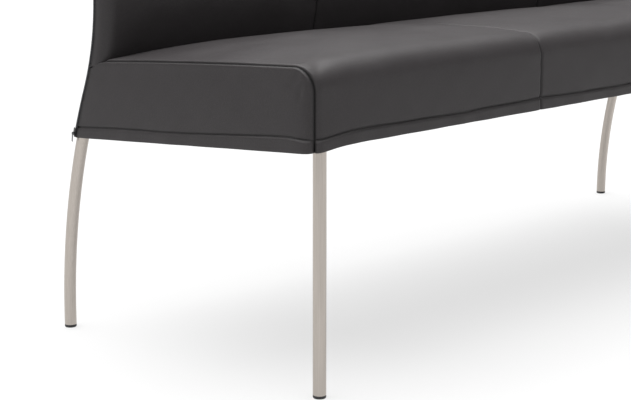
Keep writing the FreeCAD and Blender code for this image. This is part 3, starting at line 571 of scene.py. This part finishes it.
def back_panel(x_from, x_to):
    rows = []
    for x in spaced(x_from, x_to, (-HALF + BACK_SEAM, HALF - BACK_SEAM), 0.6, 9.0):
        distance = HALF - abs(x)
        pull = float(rounded(BACK_EDGE_R, distance))
        front, rear = pull - BACK_FRONT, back_rear(distance)
        rows.append(back_row(x, front, rear, BACK_TOP - pull, BACK_LOW + 0.3 * pull))
    return np.array(rows)


def back_end_panel():
    """Left end: the front panel's long part, its rounded end and the flat strip up to the zip."""
    long_part = back_panel(-HALF + BACK_EDGE_R, -HALF + BACK_SEAM)[::-1]
    rows = []
    for turn in np.linspace(0.0, pi / 2, 13)[1:]:
        pull = BACK_EDGE_R * (1 - cos(turn))
        distance = BACK_EDGE_R * (1 - sin(turn))
        front = pull - BACK_FRONT
        rear = max(back_rear(distance), front + 1.0)
        rows.append(back_row(-HALF + distance, front, rear, BACK_TOP - pull, BACK_LOW + 0.6 * pull))
    strip_from = BACK_EDGE_R - BACK_FRONT
    strip_low = BACK_LOW + 0.6 * BACK_EDGE_R
    for k in range(1, 5):
        front = strip_from + (ZIP_EDGE - strip_from) * k / 4
        top = BACK_TOP - BACK_EDGE_R - 1.5 * k
        rows.append(back_row(-HALF, front, front + 0.9, top, strip_low - 0.9 * k))
    return np.concatenate([long_part, np.array(rows)])


def back_relief(x, up):
    """Height added to the back cover: a soft pillow, soft waves and the puckered seams."""
    middle = 1 - ramp(1 - (HALF - np.abs(x) - BACK_EDGE_R) / 130.0) ** 2
    from_seam = HALF - np.abs(x) - BACK_SEAM
    relief = 0.5 * waves(x, up, 7)
    relief += PILLOW * middle * ramp((up - 470.0) / 70.0) * ramp((862.0 - up) / 80.0)
    relief -= 2.2 * bell(from_seam, 2.2)
    relief += 0.5 * np.exp(-np.abs(np.abs(from_seam) - 7.0) / 3.0)
    relief += 0.4 * np.sin(up / 5.0) * np.exp(-np.abs(from_seam) / 14.0)
    return relief


for name in ("back_cover_left", "back_cover_middle", "back_cover_right"):
    at_end = name != "back_cover_middle"
    if at_end:
        points = back_end_panel()[::-1]
    else:
        points = back_panel(-HALF + BACK_SEAM, HALF - BACK_SEAM)
    relief = back_relief(points[:, :, 0], points[:, :, 2])
    points = points + swell(points, 4.0) + normals_of(points) * relief[:, :, None]
    if name == "back_cover_right":
        points = points[::-1] * np.array([-1.0, 1.0, 1.0])
    # Painted shade along the back's seams and, on the end panels, along the zip edges.
    seam_shade = 0.7 * bell(HALF - np.abs(points[:, :, 0]) - BACK_SEAM, 1.6)
    if at_end:
        to_zip = tube_side(ZIP_EDGE, points[:, :, 2]) - points[:, :, 1] + HALF - np.abs(points[:, :, 0])
        seam_shade = np.maximum(seam_shade, 0.8 * bell(to_zip, 3.0))
    panel = skin(name + "_leather", points, leather, ("first", "last", "top"), seam_shade=seam_shade)
    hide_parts(name)
    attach(panel, "bench")


# Rear panel of the back: one sheet of leather from zip to zip over the rear of the tubes. It is
# sewn to the back cover along the top and hangs past the seat to a hem of its own.
def rear_panel(name):
    corner = BACK_REAR - BACK_REAR * np.cos(np.linspace(radians(37.0), pi / 2, 9))
    half_stations = np.concatenate([corner, spaced(BACK_REAR, HALF, (BACK_REAR,), 2.0, 12.0)[1:]])
    stations = np.concatenate([-HALF + half_stations, (HALF - half_stations)[::-1][1:]])
    ups = spaced(0.0, 1.0, (0.034, 0.98), 0.003, 0.02)
    lines = []
    for x in stations:
        distance = HALF - abs(x)
        rear = back_rear(distance)
        top = BACK_TOP - float(rounded(BACK_EDGE_R, distance))
        radius = max(rear - 1.0, 1.0)
        heights = np.linspace(REAR_HEM_LEVEL, top - radius, 90)
        face = np.stack([tube_side(rear, heights), heights], 1)
        turn = np.linspace(0.0, pi / 2, 10)[1:]
        up = top - radius + radius * np.sin(turn)
        over = np.stack([tube_side(rear, up) - radius * (1 - np.cos(turn)), up], 1)
        last = [[min(tube_side(ZIP_EDGE, top), over[-1, 0] - 0.2), top]]
        line = np.concatenate([face, over, last])
        lines.append(np.column_stack([np.full(len(ups), x), resampled(line, ups)]))
    points = np.array(lines)
    x, up = points[:, :, 0], points[:, :, 2] - REAR_HEM_LEVEL
    relief = 0.7 * waves(x, points[:, :, 2], 19) - 1.3 * bell(up - HEM, 1.8)
    relief *= ramp((HALF - np.abs(x)) / 30.0)
    out = normals_of(points)
    points = points + swell(points[::-1], 2.0)[::-1]
    # Painted shade along the hem line of the rear panel.
    seam_shade = 0.4 * bell(up - HEM, 1.6)
    return skin(name, (points - out * relief[:, :, None])[::-1], leather, ("first", "last", "top"),
                seam_shade=seam_shade[::-1])


panel = rear_panel("back_rear_panel_leather")
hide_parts("back_rear_panel")
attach(panel, "bench")


# Padding: seat foam over the webbing, back foam in front of the tubes, and a layer of fleece
# behind them. Each is a closed block a little inside its cover; the foam is cut, open-celled and
# cream, the fleece white and felted.
PAD_INSET = 30.0
SEAT_PAD_DROP = 10.0
SEAT_PAD_DEPTHS = (12.0, 445.0)
SEAT_PAD_BOTTOM = 426.0
BACK_PAD_HEIGHTS = np.linspace(452.0, 866.0, 40)


def block(name, lines, material):
    """Closed piece through side-view outlines, each at a station along the bench."""
    mesh = bpy.data.meshes.new(name)
    shape = bmesh.new()
    rings = []
    for x, outline in lines:
        places = [(x / 1000, (depth - DEPTH_TO_MIDDLE) / 1000, height / 1000) for depth, height in outline]
        rings.append([shape.verts.new(place) for place in places])
    for near, far in zip(rings, rings[1:]):
        for k in range(len(near)):
            after = (k + 1) % len(near)
            shape.faces.new((near[k], near[after], far[after], far[k]))
    shape.faces.new(rings[0][::-1])
    shape.faces.new(rings[-1])
    bmesh.ops.recalc_face_normals(shape, faces=shape.faces)
    shape.to_mesh(mesh)
    shape.free()
    mesh.shade_smooth()
    mesh.materials.append(material)
    piece = bpy.data.objects.new(name, mesh)
    bpy.context.scene.collection.objects.link(piece)
    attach(piece, "bench")
    return piece


foam = finish("foam_look", "#d9cfa8", "#c9bd92", 1.5, 0.95, relief=0.5)
fleece = finish("fleece_look", "#e4e2dd", "#cfccc5", 4.0, 0.98, relief=0.8)
pad_front, pad_back = SEAT_PAD_DEPTHS
lines = []
for x in np.linspace(-HALF + PAD_INSET, HALF - PAD_INSET, 40):
    outline = resampled(seat_line(HALF - abs(x))[1:-2, 1:], np.linspace(0.0, 1.0, 40))
    outline = outline - [0.0, SEAT_PAD_DROP]
    outline[:, 0] = np.clip(outline[:, 0], pad_front, pad_back)
    under = [[pad_back, SEAT_PAD_BOTTOM], [pad_front, SEAT_PAD_BOTTOM]]
    lines.append((x, np.concatenate([outline, under])))
pad = block("seat_foam_block", lines, foam)
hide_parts("seat_foam")
for name, kind, front, rear, filling, slot in (
        ("back_foam", "block", -27.0, -13.0, foam, "foam"),
        ("back_wadding", "layer", 10.6, 12.6, fleece, "fleece")):
    face = np.stack([tube_side(front, BACK_PAD_HEIGHTS), BACK_PAD_HEIGHTS], 1)
    behind = np.stack([tube_side(rear, BACK_PAD_HEIGHTS), BACK_PAD_HEIGHTS], 1)[::-1]
    outline = np.concatenate([face, behind])
    lines = [(x, outline) for x in np.linspace(-HALF + PAD_INSET, HALF - PAD_INSET, 24)]
    pad = block(name + "_" + kind, lines, filling)
    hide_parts(name)


# Dust cover: thin black non-woven cloth, dull and slightly fuzzy, stretched under the seat frame
# and held to the front and rear rails by studs.
DUST_CLOTH_THICKNESS = 0.4
dust = finish("dust_cloth_look", "#2b2b2b", "#202020", 1.2, 0.95, relief=0.15)
low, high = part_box("dust_cover")
across = np.linspace(low[0] * 1000, high[0] * 1000, 60)
along = np.linspace(low[1] * 1000 + DEPTH_TO_MIDDLE, high[1] * 1000 + DEPTH_TO_MIDDLE, 24)
level = np.full((len(across), len(along)), high[2] * 1000 - DUST_CLOTH_THICKNESS)
grid = np.stack([*np.meshgrid(across, along, indexing="ij"), level], 2)
cloth = skin("dust_cover_cloth", grid, dust, thickness=DUST_CLOTH_THICKNESS, smooth=0)
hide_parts("dust_cover")
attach(cloth, "bench")


# Zips: up the outer side of each rear tube, two woven tapes, each with a row of moulded teeth, half
# a pitch apart, and a leather tab sewn over the top end. The slider is metal in black lacquer, and
# its pull is dull nickel. Places are heights, out from the tube's middle line, and across the zip.
TUBE_INSET = 15.0
ZIP_ANGLE = radians(20.0)
TOOTH_PITCH = 2.2
TOOTH_LENGTH = 1.35
TEETH_FROM, TEETH_TO = 334.8, 844.6
TOOTH_CORNERS = ((12.9, 0.65), (15.5, 0.65), (15.5, 2.15), (12.9, 2.15))
TOOTH_BEVEL = 0.2
TAPE_FROM, TAPE_TO = 334.0, 846.0
TAPE_OUT = 14.1
TAPE_ACROSS = (2.2, 2.8, 3.4, 4.6)
TAPE_THICKNESS = 0.6
TAB_FROM, TAB_TURN, TAB_TO = 836.0, 852.0, 871.0
TAB_HALF_WIDTH = 5.8
TAB_OUT = 15.9
TAB_THICKNESS = 0.8
slider_metal = finish("zip_slider_look", "#3a3a3c", "#29292b", 0.8, 0.42, 0.6)
dress(slider_metal, *pair("zip_slider"))
pull_metal = finish("zip_pull_look", "#8a8a8c", "#6d6d70", 0.8, 0.38, 1.0)
dress(pull_metal, *pair("zip_pull"))
zip_tape = finish("zip_tape_look", "#2a2a2c", "#1d1d1f", 0.7, 0.9, relief=0.15)
zip_teeth = finish("zip_teeth_look", "#4b4b4e", "#3c3c40", 0.9, 0.45, relief=0.04)


def zip_points(hand, heights, out, side):
    """Points along a zip, out from the tube's middle line and across the zip."""
    lean = np.interp(heights, TUBE[:, 1], TUBE[:, 2])
    rearward = out * sin(ZIP_ANGLE) + side * cos(ZIP_ANGLE)
    aside = out * cos(ZIP_ANGLE) - side * sin(ZIP_ANGLE)
    x = hand * (HALF - TUBE_INSET + aside) * np.ones(len(heights))
    depth = tube_side(0.0, heights) + rearward * np.cos(lean)
    return np.stack([x, depth, heights + rearward * np.sin(lean)], 1)


def teeth(name, hand):
    mesh = bpy.data.meshes.new(name)
    shape = bmesh.new()
    for row, start in ((-1.0, TEETH_FROM), (1.0, TEETH_FROM + TOOTH_PITCH / 2)):
        for low in np.arange(start, TEETH_TO, TOOTH_PITCH):
            corners = []
            for height in (low, low + TOOTH_LENGTH):
                for out, side in TOOTH_CORNERS:
                    spot = zip_points(hand, np.array([height]), out, row * side)[0]
                    corners.append(shape.verts.new((spot - [0, DEPTH_TO_MIDDLE, 0]) / 1000.0))
            shape.faces.new(corners[:4])
            shape.faces.new(corners[4:])
            for k in range(4):
                after = (k + 1) % 4
                shape.faces.new((corners[k], corners[after], corners[after + 4], corners[k + 4]))
    bmesh.ops.recalc_face_normals(shape, faces=shape.faces)
    bmesh.ops.bevel(shape, geom=shape.edges[:], offset=TOOTH_BEVEL / 1000.0, segments=1, profile=0.5,
                    affect="EDGES", material=-1)
    shape.to_mesh(mesh)
    shape.free()
    mesh.materials.append(zip_teeth)
    piece = bpy.data.objects.new(name, mesh)
    bpy.context.scene.collection.objects.link(piece)
    return piece


def tape(name, hand, row):
    heights = np.linspace(TAPE_FROM, TAPE_TO, 200)
    grid = np.array([zip_points(hand, heights, TAPE_OUT, row * side) for side in TAPE_ACROSS])
    return skin(name, grid if row * hand > 0 else grid[::-1], zip_tape, thickness=TAPE_THICKNESS, smooth=0)


def end_tab(name, hand):
    """Leather tab sewn over the top end of a zip, bowed across and turned in at its top."""
    heights = np.linspace(TAB_FROM, TAB_TO, 20)
    turned = 5.0 * ramp((heights - TAB_TURN) / (TAB_TO - TAB_TURN)) ** 2
    rows = np.linspace(-TAB_HALF_WIDTH, TAB_HALF_WIDTH, 9)
    grid = np.array([zip_points(hand, heights, TAB_OUT - 0.012 * side ** 2 - turned, side)
                     for side in rows])
    return skin(name, grid if hand > 0 else grid[::-1], leather, thickness=TAB_THICKNESS)


for side_name, hand in (("left", -1.0), ("right", 1.0)):
    tab = end_tab("zip_top_tab_" + side_name, hand)
    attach(tab, "bench")
    row = teeth("zip_teeth_rows_" + side_name, hand)
    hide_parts("zip_teeth_" + side_name)
    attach(row, "bench")
    front_tape = tape("zip_tape_" + side_name, hand, -1.0)
    rear_tape = tape("zip_tape_" + side_name + "_rear", hand, 1.0)
    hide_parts("zip_tapes_" + side_name)
    for strip in (front_tape, rear_tape):
        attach(strip, "bench")


# Floor: a wide sheet of matt white paper. The eye and shiny metal see it mostly as plain white,
# with a pale shadow, and it throws a little less light back up at the bench than it shows.
PAPER_REACH = 30.0
PAPER_GLOW = 0.7
paper = bpy.data.materials.new("white_paper")
paper.use_nodes = True
rays = node(paper, "LightPath").outputs
seen = rays["Is Camera Ray"]
for other in ("Is Glossy Ray", "Is Transmission Ray"):
    seen = node(paper, "Math", {"operation": "MAXIMUM"}, _0=seen, _1=rays[other]).outputs[0]
share = node(paper, "Math", {"operation": "MULTIPLY"}, _0=seen, _1=PAPER_GLOW).outputs[0]
tone = node(paper, "Mix", {"data_type": "RGBA"}, _0=seen, _6=colour("#b0b0b0"), _7=colour("#d8d8d8"))
matt = node(paper, "BsdfDiffuse", Color=tone.outputs[2]).outputs[0]
white = node(paper, "Emission", Strength=1.0).outputs[0]
blend = node(paper, "MixShader", _0=share, _1=matt, _2=white).outputs[0]
paper.node_tree.links.new(blend, paper.node_tree.nodes["Material Output"].inputs["Surface"])
floor_mesh = bpy.data.meshes.new("floor")
sheet = bmesh.new()
bmesh.ops.create_grid(sheet, x_segments=1, y_segments=1, size=PAPER_REACH)
sheet.to_mesh(floor_mesh)
sheet.free()
floor_mesh.materials.append(paper)
floor = bpy.data.objects.new("floor", floor_mesh)
bpy.context.scene.collection.objects.link(floor)


# Lights: a very wide soft light from above and slightly behind, which shades the front and the
# back, with two weak panels in front and at the side, and a dim even room.
def soft_light(name, place, target, size, power):
    data = bpy.data.lights.new(name, "AREA")
    data.shape = "RECTANGLE"
    data.size, data.size_y = size
    data.energy = power
    lamp = bpy.data.objects.new(name, data)
    bpy.context.scene.collection.objects.link(lamp)
    lamp.location = place
    way = np.array(target) - np.array(place)
    tilt = pi / 2 + atan2(way[2], hypot(way[0], way[1]))
    lamp.rotation_euler = (tilt, 0, atan2(way[1], way[0]) - pi / 2)


soft_light("front", (-0.6, -2.6, 3.8), (-0.3, -0.2, 0.5), (3.0, 1.5), 15.0)
soft_light("side", (-4.2, 0.4, 1.6), (-0.6, 0.0, 0.4), (2.5, 2.0), 1.0)
sky = bpy.data.lights.new("overhead", "SUN")
sky.energy = 5.9
sky.angle = radians(86.0)
lamp = bpy.data.objects.new("overhead", sky)
bpy.context.scene.collection.objects.link(lamp)
lamp.rotation_euler = (radians(-10.0), 0, 0)
world = bpy.data.worlds.new("studio")
bpy.context.scene.world = world
world.use_nodes = True
world.node_tree.nodes["Background"].inputs["Color"].default_value = (1, 1, 1, 1)
world.node_tree.nodes["Background"].inputs["Strength"].default_value = 0.12


# Camera: in front of the left end at about the height of a table top, with a long lens, looking
# slightly down along the bench.
LOOK_DOWN = 0.2067
LOOK_RIGHT = 0.8002
camera_data = bpy.data.cameras.new("camera")
camera_data.sensor_width = 36.0
camera_data.lens = 91.87
camera = bpy.data.objects.new("camera", camera_data)
bpy.context.scene.collection.objects.link(camera)
camera.location = (-2.38182, -1.84125, 0.76989)
camera.rotation_euler = (pi / 2 - LOOK_DOWN, 0, -LOOK_RIGHT)
bpy.context.scene.camera = camera
bpy.context.scene.view_settings.view_transform = "Standard"
